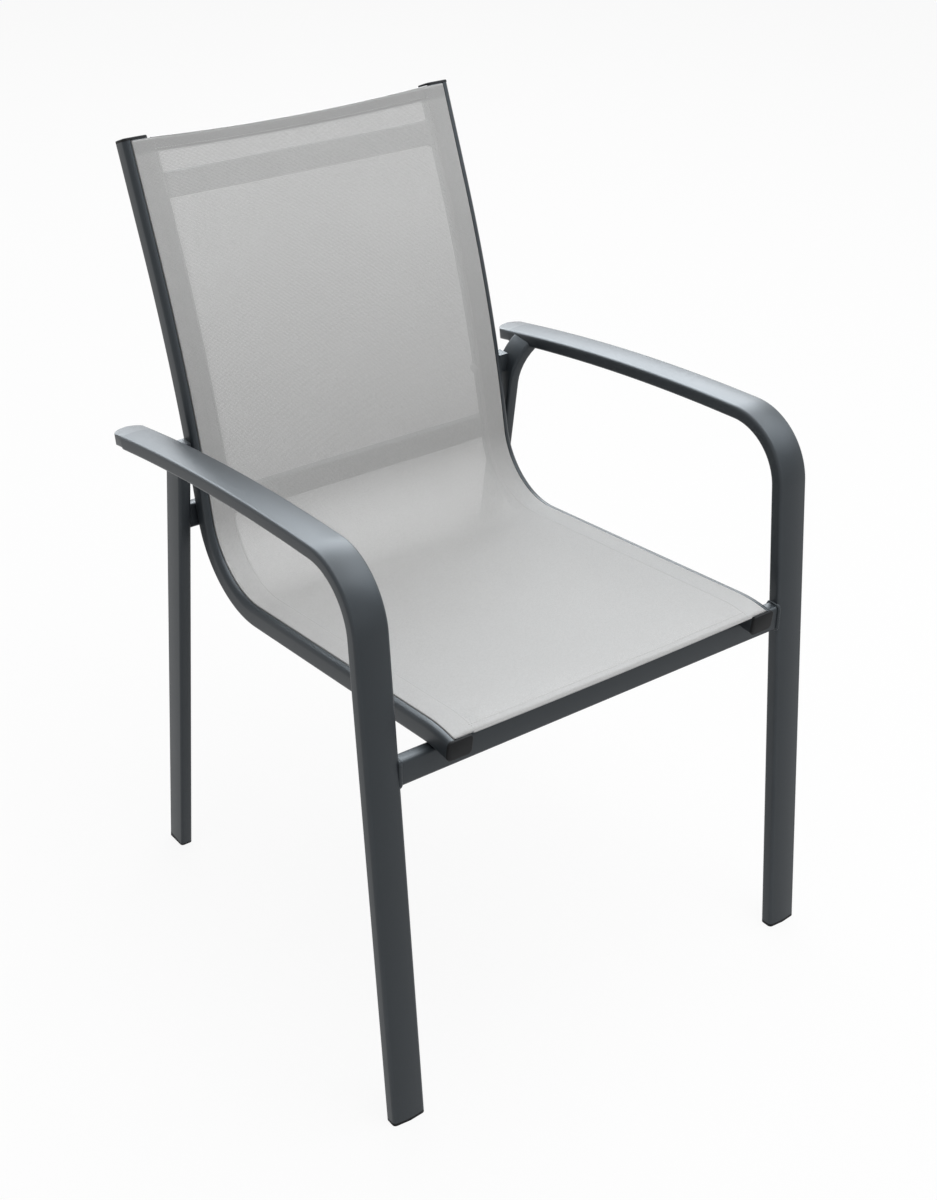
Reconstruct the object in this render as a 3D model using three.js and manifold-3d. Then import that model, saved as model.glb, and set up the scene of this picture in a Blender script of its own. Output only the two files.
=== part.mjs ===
import * as THREE from 'three';
import { mergeVertices } from 'three/addons/utils/BufferGeometryUtils.js';
import Module from 'manifold-3d';

const wasm = await Module();
wasm.setup();

// Driving dimensions of the chair, in millimetres and degrees.
// Reach is measured forward (negative) or backward (positive) from the middle of the footprint.
const frameWidth = 587.8;
const railSetIn = 76.5;
const railToeIn = 0.3;
const railLeanIn = 0.11;
const frontFootReach = -293.8;
const kneeReach = -239.2;
const kneeHeight = 633.7;
const armCrestReach = 30.2;
const armCrestHeight = 625.6;
const armEndReach = 218;
const armEndHeight = 595.4;
const armToeIn = 0.93;
const rearFootSetIn = 64.7;
const rearFootReach = 276.8;
const rearLegRake = 8.13;
const rearLegSplay = 0.15;
const seatFrontReach = -290;
const seatFrontHeight = 440;
const seatLipReach = -263.3;
const seatLipHeight = 443.7;
const seatCornerReach = 166.2;
const seatCornerHeight = 408.3;
const lumbarReach = 210.8;
const lumbarHeight = 649;
const backTopReach = 307.7;
const backTopHeight = 894.4;
const frontBarHeight = 418;
const rearBarHeight = 498.5;
const topBarHeight = 845.5;

// Shared clearances and overruns.
const seatGap = 0.3;
const cutOverrun = 40;
const arcStep = 9;
const arcRun = 60;

// Front leg and arm tube: a flat oval with slightly crowned wide faces.
const tube = { width: 39.6, thick: 18.6, crown: 1.3, corner: 4, wall: 1.6 };
const kneeRadius = 70;
const armCrestShare = 0.96;

// Rear leg tube: a rectangle with small corner radii, curved outward under the arm.
const rearLeg = { width: 31, thick: 15.5, crown: 0, corner: 3.5, wall: 1.6 };
const rearBendRadius = 60;
const rearBendTurn = 62;
const rearBendDrop = 40;

// Crossbars.
const frontBar = { width: 30, thick: 16, crown: 0, corner: 4, wall: 1.5 };
const rearBar = { width: 28, thick: 18, crown: 0, corner: 4, wall: 1.5 };
const topBar = { width: 28, thick: 16, crown: 0, corner: 4, wall: 1.5 };
const topBarSetback = 4;

// Sling rail: an extrusion with a keder channel in its front face, beside the rounded outer edge.
const railWidth = 30;
const railHeight = 24;
const railWall = 1.8;
const railCorner = 5;
const railShoulder = 6.5;
const lipShare = 0.58;
const seatCornerRadius = 99;
const lumbarShare = 0.97;
const channelInset = 9;
const channelBore = 6.4;
const channelSlot = 2.4;
const kederRod = 5;

// Sling cloth.
const clothThick = 1.2;
const clothSag = 5;
const clothTurn = 1.2;
const clothTurnSteps = 3;
const sagStations = 10;
const clothFrontSag = 2;
const clothFrontSetback = 0.3;
const clothTopSetback = 1;
const clothTopDip = 4.5;

// Caps and glides.
const railCapThick = 3;
const railCapBevel = 1;
const armCapLength = 27;
const armCapCorner = 16;
const armCapThinning = 1.8;
const railPlugLength = 6;
const armPlugLength = 14;
const footPlugLength = 14;
const plugGap = 0.3;
const glideThick = 2.5;

// Bolts and washers.
const boltShank = 6;
const boltHead = 10.5;
const boltHeadHeight = 3.3;
const boltSocket = 4.4;
const boltSocketDepth = 1.8;
const boltDomeShares = [{ radius: 0.62, height: 0.92 }, { radius: 0.9, height: 0.5 }];
const boltHoleGap = 0.4;
const boltBite = 7;
const washerOuter = 12;
const washerThick = 1.4;
const roundSides = 14;

// Lug between each sling rail and its rear leg.
const lugHeight = 22;
const lugDepth = 16;
const lugDrop = 15.3;
const lugReachShift = 2;
const lugWidth = 12.5;
const lugThread = 5;
const lugBoltSetback = 5;

const radians = THREE.MathUtils.degToRad;

// Finishes seen in the photograph.
const coated = () => new THREE.MeshStandardMaterial({ color: 0x41464b, roughness: 0.5, metalness: 0.35 });
const blackPlastic = () => new THREE.MeshStandardMaterial({ color: 0x17181a, roughness: 0.6, metalness: 0 });
const cloth = () => new THREE.MeshStandardMaterial({ color: 0xbcbcbb, roughness: 0.9, metalness: 0 });
const kederPlastic = () => new THREE.MeshStandardMaterial({ color: 0xd8d8d4, roughness: 0.5, metalness: 0 });
const steel = () => new THREE.MeshStandardMaterial({ color: 0x8d9093, roughness: 0.35, metalness: 0.9 });

// A route in the upright YZ plane: straight runs between corners, each inner corner rounded by an arc.
// An arc has a radius, or takes a share of what the arcs with a radius leave of the shorter run beside
// it. The stations lie at the ends of the runs and evenly along the arcs, so no facet of an arc turns
// or runs further than a set step.
class BentPath extends THREE.Curve {
  constructor(corners, bends) {
    super();
    this.stations = [];
    const heading = corners.slice(1).map((corner, i) => (
      Math.atan2(corner.y - corners[i].y, corner.x - corners[i].x)
    ));
    this.addStation(corners[0], heading[0]);
    const spreadAt = (i) => Math.tan(Math.abs(heading[i + 1] - heading[i]) / 2);
    const taken = bends.map(({ radius }, i) => (radius ? radius * spreadAt(i) : 0));
    const free = (i) => corners[i].distanceTo(corners[i + 1]) - (taken[i - 1] ?? 0) - (taken[i] ?? 0);
    bends.forEach(({ radius, share }, i) => {
      const turn = heading[i + 1] - heading[i];
      const spread = spreadAt(i);
      const tangent = radius ? taken[i] : share * Math.min(free(i), free(i + 1));
      const start = corners[i + 1].clone().sub(along(heading[i], tangent));
      const side = Math.sign(turn);
      const bend = tangent / spread;
      const centre = start.clone().add(along(heading[i] + side * Math.PI / 2, bend));
      const steps = Math.max(
        2,
        Math.ceil(Math.abs(turn) / radians(arcStep)),
        Math.ceil(Math.abs(turn) * bend / arcRun),
      );
      for (let step = 0; step <= steps; step += 1) {
        const angle = heading[i] + turn * step / steps;
        this.addStation(centre.clone().sub(along(angle + side * Math.PI / 2, bend)), angle);
      }
    });
    this.addStation(corners[corners.length - 1], heading[heading.length - 1]);
  }

  addStation(place, angle) {
    this.stations.push({ y: place.x, z: place.y, angle });
  }

  get runs() {
    return this.stations.length - 1;
  }

  getPointAt(share) {
    const at = share * this.runs;
    const low = Math.min(Math.floor(at), this.runs - 1);
    const from = this.stations[low];
    const to = this.stations[low + 1];
    const part = at - low;
    return new THREE.Vector3(0, from.y + (to.y - from.y) * part, from.z + (to.z - from.z) * part);
  }

  getPoint(share) {
    return this.getPointAt(share);
  }

  getTangentAt(share) {
    const { angle } = this.stations[Math.round(share * this.runs)];
    return new THREE.Vector3(0, Math.cos(angle), Math.sin(angle));
  }

  // The point, and the heading of its facet, where the route first passes a height (axis z) or a reach
  // (axis y).
  passing(axis, value) {
    const index = this.stations.findIndex((station, i) => i < this.runs
      && (station[axis] - value) * (this.stations[i + 1][axis] - value) <= 0
      && station[axis] !== this.stations[i + 1][axis]);
    const from = this.stations[index];
    const to = this.stations[index + 1];
    const part = (value - from[axis]) / (to[axis] - from[axis]);
    return {
      y: from.y + (to.y - from.y) * part,
      z: from.z + (to.z - from.z) * part,
      angle: Math.atan2(to.z - from.z, to.y - from.y),
    };
  }
}

function along(angle, length) {
  return new THREE.Vector2(Math.cos(angle) * length, Math.sin(angle) * length);
}

// A tube's outline grown by a margin: two straight sides, four corner arcs, two crowned wide faces.
function ovalOutline(section, margin, shape = new THREE.Shape()) {
  const half = section.width / 2 + margin;
  const side = section.thick / 2 - section.crown + margin;
  const corner = Math.max(section.corner + margin, section.wall / 2);
  shape.moveTo(half, corner - side);
  shape.lineTo(half, side - corner);
  shape.absarc(half - corner, side - corner, corner, 0, Math.PI / 2, false);
  crossFace(shape, corner - half, side, section.crown);
  shape.absarc(corner - half, side - corner, corner, Math.PI / 2, Math.PI, false);
  shape.lineTo(-half, corner - side);
  shape.absarc(corner - half, corner - side, corner, Math.PI, Math.PI * 1.5, false);
  crossFace(shape, half - corner, -side, -section.crown);
  shape.absarc(half - corner, corner - side, corner, Math.PI * 1.5, Math.PI * 2, false);
  return shape;
}

function crossFace(shape, endX, endY, crown) {
  if (crown === 0) {
    shape.lineTo(endX, endY);
  } else {
    shape.quadraticCurveTo(0, endY + 2 * crown, endX, endY);
  }
}

function tubeSection(section) {
  const shape = ovalOutline(section, 0);
  shape.holes.push(ovalOutline(section, -section.wall, new THREE.Path()));
  return shape;
}

function sweep(shape, path) {
  return new THREE.ExtrudeGeometry(shape, { steps: path.runs, extrudePath: path, curveSegments: 2 });
}

function prism(shape, depth) {
  return new THREE.ExtrudeGeometry(shape, { depth, bevelEnabled: false, curveSegments: 2 });
}

// Booleans: closed geometry in, closed geometry out.
function solid(geometry, matrix = new THREE.Matrix4()) {
  const bare = geometry.clone().applyMatrix4(matrix);
  bare.deleteAttribute('normal');
  bare.deleteAttribute('uv');
  const merged = mergeVertices(bare);
  const vertProperties = new Float32Array(merged.attributes.position.array);
  const triVerts = new Uint32Array(merged.index.array);
  return new wasm.Manifold(new wasm.Mesh({ numProp: 3, vertProperties, triVerts }));
}

function geometryOf(manifold) {
  const { vertProperties, triVerts } = manifold.getMesh();
  const geometry = new THREE.BufferGeometry();
  geometry.setAttribute('position', new THREE.Float32BufferAttribute(vertProperties, 3));
  geometry.setIndex(Array.from(triVerts));
  return geometry;
}

function placed(position, rotation = [0, 0, 0]) {
  const turn = new THREE.Quaternion().setFromEuler(new THREE.Euler(...rotation));
  return new THREE.Matrix4().compose(position, turn, new THREE.Vector3(1, 1, 1));
}

const chair = new THREE.Group();

function addMesh(name, geometry, material, parent = chair) {
  const mesh = new THREE.Mesh(geometry, material);
  mesh.name = name;
  parent.add(mesh);
  return mesh;
}

const sides = [{ label: 'left', sign: -1 }, { label: 'right', sign: 1 }];
// A swept section's x axis points to the chair's left, so its outer side is +x on the left only.
const sectionOut = (sign) => -sign;
const yz = (reach, height) => new THREE.Vector2(reach, height);

// Routes of the bent tubes.
const frontRake = Math.atan2(kneeReach - frontFootReach, kneeHeight);
const frontFootLift = glideThick + tube.thick / 2 * Math.tan(frontRake);
const armPath = new BentPath([
  yz(frontFootReach + frontFootLift * Math.tan(frontRake), frontFootLift),
  yz(kneeReach, kneeHeight),
  yz(armCrestReach, armCrestHeight),
  yz(armEndReach, armEndHeight),
], [{ radius: kneeRadius }, { share: armCrestShare }]);
const railPath = new BentPath([
  yz(seatFrontReach, seatFrontHeight),
  yz(seatLipReach, seatLipHeight),
  yz(seatCornerReach, seatCornerHeight),
  yz(lumbarReach, lumbarHeight),
  yz(backTopReach, backTopHeight),
], [{ share: lipShare }, { radius: seatCornerRadius }, { share: lumbarShare }]);

// Each side's arm tube turns in slightly towards the back about the knee of its front leg.
const tubeCentre = (frameWidth - tube.width) / 2;
function armPlace(sign) {
  const turn = sign * radians(armToeIn);
  const pivot = new THREE.Vector3(0, kneeReach, 0);
  const offset = pivot.clone().applyAxisAngle(new THREE.Vector3(0, 0, 1), turn);
  return placed(new THREE.Vector3(sign * tubeCentre, kneeReach, 0).sub(offset), [0, 0, turn]);
}
const armInnerAt = (reach) => tubeCentre - tube.width / 2 - (reach - kneeReach) * Math.tan(radians(armToeIn));

// Front legs with arms.
function addArmTubes() {
  for (const { label, sign } of sides) {
    const mesh = addMesh(`${label}_leg_arm_tube`, sweep(tubeSection(tube), armPath), coated());
    mesh.applyMatrix4(armPlace(sign));
  }
}

// Fills the arm, the space above it and the space beyond its outer side, to cope the rear leg's top.
function armCutter(sign) {
  const out = sectionOut(sign);
  const half = tube.width / 2 + seatGap;
  const side = tube.thick / 2 - tube.crown + seatGap;
  const corner = tube.corner + seatGap;
  const shape = new THREE.Shape();
  shape.moveTo(out * cutOverrun, cutOverrun);
  shape.lineTo(-out * half, cutOverrun);
  shape.lineTo(-out * half, corner - side);
  shape.absarc(-out * (half - corner), corner - side, corner, out > 0 ? Math.PI : 0, Math.PI * 1.5, out < 0);
  crossFace(shape, out * (half - corner), -side, -tube.crown);
  shape.lineTo(out * cutOverrun, -side);
  shape.closePath();
  return solid(sweep(shape, armPath), armPlace(sign));
}

// Rear legs: straight from the foot, then curved outward to end against the arm's underside.
const rearRake = radians(rearLegRake);
const rearSplay = radians(rearLegSplay);
function rearLegPlace(sign) {
  const foot = new THREE.Vector3(sign * (frameWidth / 2 - rearFootSetIn), rearFootReach, 0);
  return placed(foot, [rearRake, sign * rearSplay, -sign * Math.PI / 2]);
}
const rearFootLift = glideThick + rearLeg.width / 2 * Math.tan(rearRake);
const rearTopReach = rearFootReach - armEndHeight * Math.tan(rearRake);
const armUnderside = armPath.passing('y', rearTopReach).z - tube.thick / 2;
const rearStraight = (armUnderside - rearBendDrop) / (Math.cos(rearRake) * Math.cos(rearSplay));
function rearLegPath(startLift) {
  const bendTangent = rearBendRadius * Math.tan(radians(rearBendTurn) / 2);
  const corner = yz(0, rearStraight + bendTangent);
  const tail = along(Math.PI / 2 - radians(rearBendTurn), bendTangent + cutOverrun);
  return new BentPath([yz(0, startLift), corner, corner.clone().add(tail)], [{ radius: rearBendRadius }]);
}
function addRearLegs() {
  for (const { label, sign } of sides) {
    const leg = solid(sweep(tubeSection(rearLeg), rearLegPath(rearFootLift)), rearLegPlace(sign));
    addMesh(`${label}_rear_leg`, geometryOf(leg.subtract(armCutter(sign))), coated());
  }
}
// A point inside the rear leg, from its local inward offset and its height up the leg.
function onRearLeg(sign, inward, up) {
  return new THREE.Vector3(0, -inward, up).applyMatrix4(rearLegPlace(sign));
}

// Crossbars lie along X. Their tall side leans with the tilt angle.
function barGeometry(section, halfLength) {
  return prism(tubeSection(section), 2 * halfLength).translate(0, 0, -halfLength);
}
const barPlace = (centre, tilt) => placed(new THREE.Vector3(0, centre.y, centre.z), [tilt, Math.PI / 2, 0]);

// Each rail turns in slightly towards the back and the top, about its front end.
const railOuter = frameWidth / 2 - railSetIn;
const railCentre = railOuter - railWidth / 2;
const railInner = railOuter - railWidth;
function railTurn(sign) {
  const pivot = new THREE.Vector3(sign * railCentre, seatFrontReach, seatFrontHeight);
  const turn = [0, -sign * radians(railLeanIn), sign * radians(railToeIn)];
  return placed(pivot, turn).multiply(placed(pivot.clone().negate()));
}
const railPlace = (sign) => railTurn(sign).multiply(placed(new THREE.Vector3(sign * railCentre, 0, 0)));
function railDrift({ y, z }) {
  const back = (y - seatFrontReach) * Math.tan(radians(railToeIn));
  return back + (z - seatFrontHeight) * Math.tan(radians(railLeanIn));
}

const frontBarCentre = { y: frontFootReach + frontBarHeight * Math.tan(frontRake), z: frontBarHeight };
const railOverFrontBar = railPath.passing('y', frontBarCentre.y);
frontBarCentre.z = railOverFrontBar.z - railHeight / 2 - frontBar.width / 2 - seatGap * 2;
const frontBarHalf = armInnerAt(frontBarCentre.y) - 2 * seatGap;

// The offset of a point from the rail's centre line, towards the sitter when rise is positive.
function offRail(place, rise) {
  return { y: place.y - Math.sin(place.angle) * rise, z: place.z + Math.cos(place.angle) * rise };
}
const rearBarRise = -(railHeight / 2 + 2 * seatGap + rearBar.thick / 2);
const railAtRearBar = railPath.passing('z', rearBarHeight);
const rearBarCentre = offRail(railAtRearBar, rearBarRise);
const rearBarTilt = railAtRearBar.angle - Math.PI / 2;
const rearLegUp = rearBarCentre.z / Math.cos(rearRake);
const rearBarHalf = onRearLeg(1, rearLeg.thick / 2, rearLegUp).x - 2 * seatGap;

const railAtTopBar = railPath.passing('z', topBarHeight);
const topBarCentre = offRail(railAtTopBar, -topBarSetback);
const topBarTilt = railAtTopBar.angle - Math.PI / 2;

// Bolts: a domed head with a socket, and a shank along +Z from the head's seat.
function boltGeometry(reach) {
  const head = boltHead / 2;
  const profile = [
    [0, boltSocketDepth - boltHeadHeight],
    [boltSocket / 2, boltSocketDepth - boltHeadHeight],
    [boltSocket / 2, -boltHeadHeight],
    ...boltDomeShares.map(({ radius, height }) => [head * radius, -boltHeadHeight * height]),
    [head, 0],
    [boltShank / 2, 0],
    [boltShank / 2, reach],
    [0, reach],
  ];
  const points = profile.map(([radius, height]) => new THREE.Vector2(radius, height));
  return new THREE.LatheGeometry(points, roundSides).rotateX(Math.PI / 2);
}
function washerGeometry() {
  const inner = (boltShank + boltHoleGap) / 2;
  const outer = washerOuter / 2;
  const ring = [[inner, 0], [outer, 0], [outer, washerThick], [inner, washerThick], [inner, 0]];
  const points = ring.map(([radius, height]) => new THREE.Vector2(radius, height));
  return new THREE.LatheGeometry(points, roundSides).rotateX(Math.PI / 2);
}
const holeGeometry = (radius, from, to) => new THREE.CylinderGeometry(radius, radius, to - from, roundSides)
  .rotateX(Math.PI / 2)
  .translate(0, 0, (from + to) / 2);

// Where each bolt's washer sits, the way its shank points, and how far the shank reaches. The front
// bolts are sunk: they sit inside the crossbar, and go in through a wider hole in its lower wall.
const frontBoltReach = frontBar.wall + 2 * seatGap + railWall + boltBite;
const rearBoltReach = rearBar.thick + 2 * seatGap + railWall + boltBite;
const lugBoltReach = railWidth + 2 * seatGap + lugThread;
const lugCentreHeight = armUnderside - lugDrop;
const lugRail = railPath.passing('z', lugCentreHeight);
const lugBolt = offRail(lugRail, -lugBoltSetback);
const boltSeats = [
  {
    kind: 'front',
    sunk: true,
    reach: frontBoltReach,
    at: (sign) => {
      const out = railCentre - railDrift(railOverFrontBar);
      const seatHeight = frontBarCentre.z + frontBar.width / 2 - frontBar.wall;
      return new THREE.Vector3(sign * out, frontBarCentre.y, seatHeight);
    },
    turn: () => [0, 0, 0],
  },
  {
    kind: 'rear',
    reach: rearBoltReach,
    at: (sign) => {
      const seat = offRail(railAtRearBar, rearBarRise - rearBar.thick / 2);
      return new THREE.Vector3(sign * (railCentre - railDrift(railAtRearBar)), seat.y, seat.z);
    },
    turn: () => [railAtRearBar.angle, 0, 0],
  },
  {
    kind: 'lug',
    reach: lugBoltReach,
    at: (sign) => new THREE.Vector3(sign * (railInner - railDrift(lugRail) - seatGap), lugBolt.y, lugBolt.z),
    turn: (sign) => [0, sign * Math.PI / 2, 0],
  },
];
const boltPlace = (seat, sign, lift = 0) => placed(seat.at(sign), seat.turn(sign))
  .multiply(placed(new THREE.Vector3(0, 0, -lift)));
function boltHoles() {
  return boltSeats.flatMap((seat) => sides.flatMap(({ sign }) => {
    const overrun = seat.reach + boltBite;
    const back = seat.sunk ? frontBar.width : overrun;
    const holes = [holeGeometry(boltShank / 2 + boltHoleGap, -back, overrun)];
    if (seat.sunk) {
      holes.push(holeGeometry(washerOuter / 2 + boltHoleGap, -back, 0));
    }
    return holes.map((hole) => solid(hole, boltPlace(seat, sign)));
  }));
}
const cutHoles = (body) => boltHoles().reduce((left, hole) => left.subtract(hole), body);

function addBolts() {
  for (const seat of boltSeats) {
    for (const { label, sign } of sides) {
      const washer = addMesh(`${label}_${seat.kind}_washer`, washerGeometry(), steel());
      washer.applyMatrix4(boltPlace(seat, sign, washerThick));
      const bolt = addMesh(`${label}_${seat.kind}_bolt`, boltGeometry(seat.reach + washerThick), steel());
      bolt.applyMatrix4(boltPlace(seat, sign, washerThick));
    }
  }
}

function addCrossbars() {
  const front = solid(barGeometry(frontBar, frontBarHalf), barPlace(frontBarCentre, 0));
  addMesh('front_crossbar', geometryOf(cutHoles(front)), coated());
  const rear = solid(barGeometry(rearBar, rearBarHalf), barPlace(rearBarCentre, rearBarTilt));
  addMesh('rear_crossbar', geometryOf(cutHoles(rear)), coated());
  const top = barGeometry(topBar, railInner - railDrift(railAtTopBar) - 2 * seatGap);
  addMesh('top_crossbar', top, coated()).applyMatrix4(barPlace(topBarCentre, topBarTilt));
}

// Sling rail section. Out runs from the rail's centre towards the chair's outer side.
const channelOut = railWidth / 2 - channelInset;
const channelRise = railHeight / 2 - railWall - channelBore / 2;
function railSection(out) {
  const half = railWidth / 2;
  const top = railHeight / 2;
  const slot = channelSlot / 2;
  const bore = channelBore / 2;
  const mouth = Math.asin(slot / bore);
  const arc = (x, y, radius, from, to, clockwise) => {
    const turned = (angle) => (out > 0 ? angle : Math.PI - angle);
    shape.absarc(out * x, y, radius, turned(from), turned(to), out > 0 ? clockwise : !clockwise);
  };
  const shape = new THREE.Shape();
  shape.moveTo(out * (channelOut - slot), top);
  arc(railCorner - half, top - railCorner, railCorner, Math.PI / 2, Math.PI, false);
  arc(railCorner - half, railCorner - top, railCorner, Math.PI, Math.PI * 1.5, false);
  arc(half - railCorner, railCorner - top, railCorner, Math.PI * 1.5, Math.PI * 2, false);
  arc(half - railShoulder, top - railShoulder, railShoulder, 0, Math.PI / 2, false);
  shape.lineTo(out * (channelOut + slot), top);
  arc(channelOut, channelRise, bore, Math.PI / 2 - mouth, mouth - Math.PI * 1.5, true);
  shape.closePath();
  shape.holes.push(new THREE.Path(chamberOutline(out, 0)));
  return shape;
}

// The rail's inner chamber, drawn in by a margin: it passes under the channel and rises beside it. It
// runs anticlockwise on either side and either way up.
function chamberOutline(out, margin, up = 1) {
  const half = railWidth / 2 - railWall - margin;
  const rise = railHeight / 2 - railWall - margin;
  const ledge = channelRise - channelBore / 2 - railWall - margin;
  const step = channelOut - channelBore / 2 - railWall - margin;
  const cut = railCorner - railWall;
  const points = [
    [cut - half, -rise], [half - cut, -rise], [half, cut - rise], [half, ledge], [step, ledge],
    [step, rise], [cut - half, rise], [-half, rise - cut], [-half, cut - rise],
  ].map(([x, y]) => new THREE.Vector2(out * x, up * y));
  return out * up > 0 ? points : points.reverse();
}
function addRails() {
  for (const { label, sign } of sides) {
    const rail = solid(sweep(railSection(sectionOut(sign)), railPath), railPlace(sign));
    addMesh(`${label}_sling_rail`, geometryOf(cutHoles(rail)), coated());
    const rod = new THREE.Shape();
    rod.absarc(sectionOut(sign) * channelOut, channelRise, kederRod / 2, 0, Math.PI * 2, false);
    const mesh = addMesh(`${label}_keder_rod`, sweep(rod, railPath), kederPlastic());
    mesh.applyMatrix4(railPlace(sign));
  }
}

// Sling cloth: from the rod in one channel, out of its slot and over both rails, to the rod in the other.
function clothShape() {
  const flat = railHeight / 2 + seatGap + clothThick / 2;
  const half = [[channelOut, channelRise + kederRod / 2 + seatGap]];
  for (let step = 0; step <= clothTurnSteps; step += 1) {
    const angle = step / clothTurnSteps * Math.PI / 2;
    half.push([
      channelOut - clothTurn + Math.cos(angle) * clothTurn,
      flat - clothTurn + Math.sin(angle) * clothTurn,
    ]);
  }
  const edge = half.map(([out, rise]) => new THREE.Vector2(railCentre + out, rise));
  const middle = [];
  for (let step = 0; step <= sagStations; step += 1) {
    const share = 1 - 2 * step / sagStations;
    middle.push(new THREE.Vector2(share * railInner, flat - clothSag * (1 - share * share)));
  }
  const mirrored = edge.map((point) => new THREE.Vector2(-point.x, point.y)).reverse();
  return ribbon([...edge, ...middle, ...mirrored], clothThick);
}

// The cloth follows each rail's turn at its own side and spans between them. Its front edge sags less
// than the rest, and its top edge dips.
function addCloth() {
  const ends = railPath.stations;
  const last = ends[railPath.runs];
  const clothPath = new BentPath([yz(ends[0].y, ends[0].z), yz(ends[1].y, ends[1].z)], []);
  const [first] = ends;
  clothPath.stations = [
    {
      y: first.y + Math.cos(first.angle) * clothFrontSetback,
      z: first.z + Math.sin(first.angle) * clothFrontSetback,
      angle: first.angle,
    },
    ...ends.slice(1, -1),
    {
      y: last.y - Math.cos(last.angle) * clothTopSetback,
      z: last.z - Math.sin(last.angle) * clothTopSetback,
      angle: last.angle,
    },
  ];
  const geometry = sweep(clothShape(), clothPath);
  const place = geometry.attributes.position;
  const [left, right] = sides.map(({ sign }) => railTurn(sign));
  const point = new THREE.Vector3();
  const dip = along(last.angle, clothTopDip);
  const topHeight = last.z - Math.sin(last.angle) * (clothTopSetback + railHeight);
  for (let i = 0; i < place.count; i += 1) {
    point.fromBufferAttribute(place, i);
    const across = THREE.MathUtils.clamp(point.x / railInner, -1, 1);
    const belly = 1 - across * across;
    if (point.z > topHeight) {
      point.y -= dip.x * belly;
      point.z -= dip.y * belly;
    }
    if (point.y < seatLipReach + railHeight) {
      point.z += (clothSag - clothFrontSag) * belly;
    }
    const onLeft = point.clone().applyMatrix4(left);
    const onRight = point.clone().applyMatrix4(right);
    point.lerpVectors(onLeft, onRight, (across + 1) / 2);
    place.setXYZ(i, point.x, point.y, point.z);
  }
  addMesh('sling_cloth', geometry, cloth());
}

// A thin closed outline that keeps the same thickness about a line of points.
function ribbon(line, thick) {
  const normals = line.map((point, i) => {
    const before = line[Math.max(i - 1, 0)];
    const after = line[Math.min(i + 1, line.length - 1)];
    const run = after.clone().sub(before).normalize();
    return new THREE.Vector2(-run.y, run.x).multiplyScalar(thick / 2);
  });
  const over = line.map((point, i) => point.clone().add(normals[i]));
  const under = line.map((point, i) => point.clone().sub(normals[i])).reverse();
  return new THREE.Shape([...over, ...under]);
}

// Rail caps: a bevelled plate as large as the rail's section, and a plug that enters the chamber. The
// front ends' caps are built upside down, because they face the other way.
function railCapGeometry(sign, up) {
  const body = { width: railWidth, thick: railHeight, crown: 0, corner: railCorner, wall: railWall };
  const plate = new THREE.ExtrudeGeometry(ovalOutline(body, 0), {
    depth: railCapThick - railCapBevel,
    bevelEnabled: true,
    bevelThickness: railCapBevel,
    bevelSize: railCapBevel,
    bevelOffset: -railCapBevel,
    bevelSegments: 2,
    curveSegments: 2,
  }).translate(0, 0, railCapBevel - railCapThick);
  const keep = solid(new THREE.BoxGeometry(2 * cutOverrun, 2 * cutOverrun, cutOverrun)
    .translate(0, 0, -cutOverrun / 2));
  const plug = new THREE.Shape(chamberOutline(sign, plugGap, up));
  const plugBody = solid(prism(plug, railPlugLength + railCapBevel).translate(0, 0, -railCapBevel));
  return geometryOf(solid(plate).intersect(keep).add(plugBody));
}

// Arm caps: the tube's section carried on to a rounded end, a little higher on its underside, and a
// plug that enters the tube.
function armCapGeometry() {
  const half = tube.width / 2 + seatGap;
  const plan = new THREE.Shape();
  plan.moveTo(-half, -armPlugLength);
  plan.lineTo(half, -armPlugLength);
  plan.absarc(half - armCapCorner, armCapLength - armCapCorner, armCapCorner, 0, Math.PI / 2, false);
  plan.absarc(armCapCorner - half, armCapLength - armCapCorner, armCapCorner, Math.PI / 2, Math.PI, false);
  plan.closePath();
  const planBody = new THREE.ExtrudeGeometry(plan, { depth: cutOverrun, bevelEnabled: false, curveSegments: 5 })
    .translate(0, 0, -cutOverrun / 2)
    .rotateX(-Math.PI / 2);
  const lengths = armCapLength + seatGap;
  const section = { ...tube, thick: tube.thick - armCapThinning };
  const body = solid(prism(ovalOutline(section, 0), lengths).translate(0, armCapThinning / 2, -lengths));
  const plug = prism(ovalOutline(tube, -tube.wall - plugGap), armPlugLength + armCapLength / 2)
    .translate(0, 0, -armCapLength / 2);
  return geometryOf(body.intersect(solid(planBody)).add(solid(plug)));
}
// Turns a piece built along +Z so that +Z follows the heading of a route's end.
const headingTurn = (angle) => [angle - Math.PI / 2, 0, 0];

function addCaps() {
  const ends = [
    { name: 'rail_front_cap', route: railPath.stations[0], back: 0, up: -1 },
    { name: 'rail_top_cap', route: railPath.stations[railPath.runs], back: Math.PI, up: 1 },
  ];
  const armEnd = armPath.stations[armPath.runs];
  const onArm = placed(new THREE.Vector3(0, armEnd.y, armEnd.z), headingTurn(armEnd.angle + Math.PI));
  for (const { label, sign } of sides) {
    for (const { name, route, back, up } of ends) {
      const onRail = placed(new THREE.Vector3(0, route.y, route.z), headingTurn(route.angle + back));
      addMesh(`${label}_${name}`, railCapGeometry(sign, up), blackPlastic())
        .applyMatrix4(railPlace(sign).multiply(onRail));
    }
    addMesh(`${label}_arm_end_cap`, armCapGeometry(), blackPlastic())
      .applyMatrix4(armPlace(sign).multiply(onArm));
  }
}

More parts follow.
